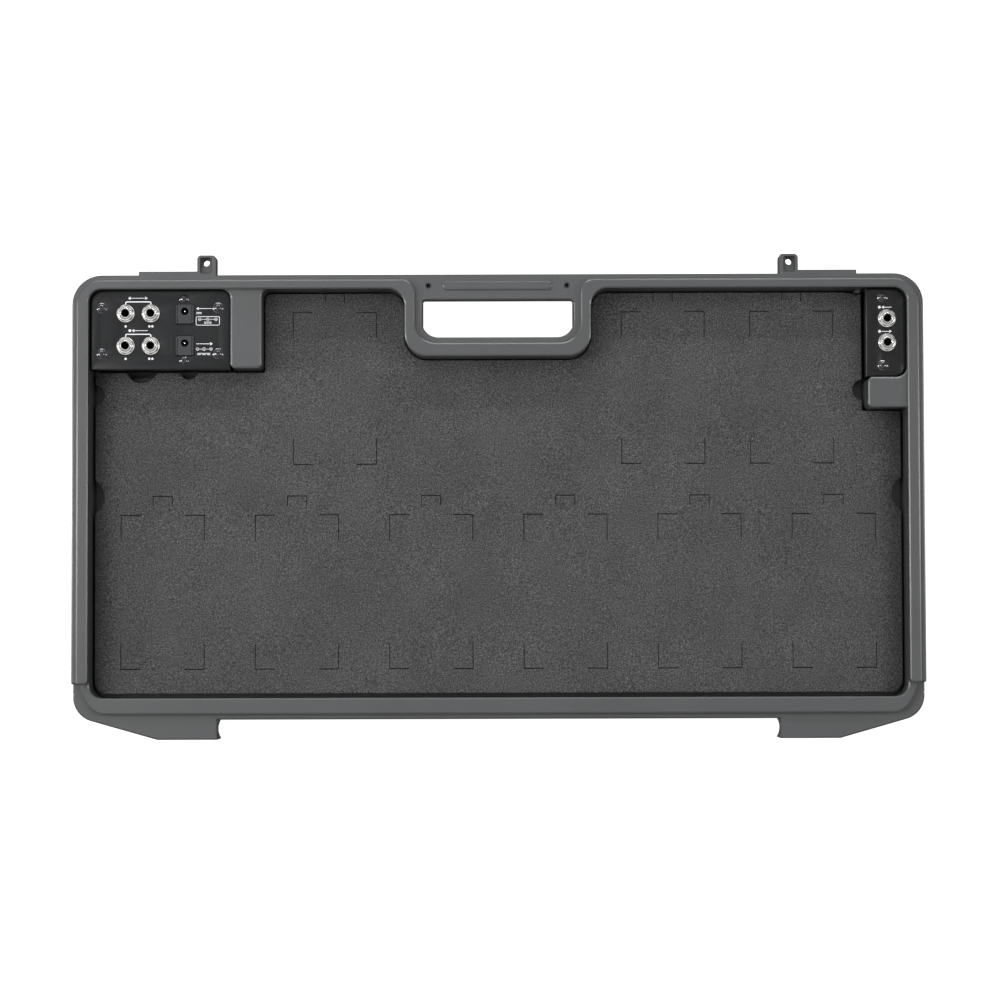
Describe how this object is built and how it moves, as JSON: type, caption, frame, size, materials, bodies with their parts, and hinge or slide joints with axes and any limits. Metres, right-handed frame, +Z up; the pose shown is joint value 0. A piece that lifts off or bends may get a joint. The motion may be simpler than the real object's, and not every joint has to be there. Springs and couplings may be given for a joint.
{
  "type": "pedalboard",
  "caption": "Moulded carry-case base for effects pedals: ridged rim with hand grip, foam-lined tray, steel jack panels in the back corners, lock tabs and standing feet.",
  "frame": {"origin": "on the ground under the middle of the case", "axes": "+X to the right, +Y to the back edge with the grip, +Z up"},
  "size_m": [0.717, 0.408, 0.062],
  "materials": {
    "case_grey": "fine moulded texture",
    "grip_grey": "fine moulded texture",
    "screw_black": "black zinc",
    "rubber_black": "matte",
    "foam_grey": "fine closed-cell foam",
    "box_black": "matte",
    "panel_black": "satin powder coat",
    "nickel": "bright nickel plate",
    "brass": "plain",
    "board_green": "solder mask",
    "socket_grey": "moulded"
  },
  "bodies": {
    "case": {"base_shell": "case_grey", "handle_cover": "grip_grey", "handle_screws": "screw_black", "rubber_feet": "rubber_black", "foot_screws": "screw_black", "output_box": "box_black", "output_panel": "panel_black", "output_panel_screws": "screw_black", "input_box": "box_black", "input_panel": "panel_black", "input_panel_screws": "screw_black", "box_screws": "screw_black", "output_jack_a_body": "box_black", "output_jack_b_body": "box_black", "return_jack_a_body": "box_black", "return_jack_b_body": "box_black", "input_jack_body": "box_black", "send_jack_body": "box_black", "output_jack_a_bushing": "nickel", "output_jack_b_bushing": "nickel", "return_jack_a_bushing": "nickel", "return_jack_b_bushing": "nickel", "input_jack_bushing": "nickel", "send_jack_bushing": "nickel", "jack_washers": "nickel", "jack_nuts": "nickel", "jack_tip_springs": "brass", "jack_pins": "brass", "output_jack_board": "board_green", "input_jack_board": "board_green", "dc_in_jack": "socket_grey", "dc_out_jack": "socket_grey", "dc_in_pin": "nickel", "dc_out_pin": "nickel", "dc_sleeve_springs": "brass", "dc_carrier": "box_black", "dc_screws": "screw_black", "power_board": "board_green"},
    "foam": {"foam_pad": "foam_grey"}
  },
  "joints": [
    {"name": "foam_lift", "type": "slide", "parent": "case", "child": "foam", "axis": [0, 0, 1], "range_m": [0, 0.08]}
  ]
}
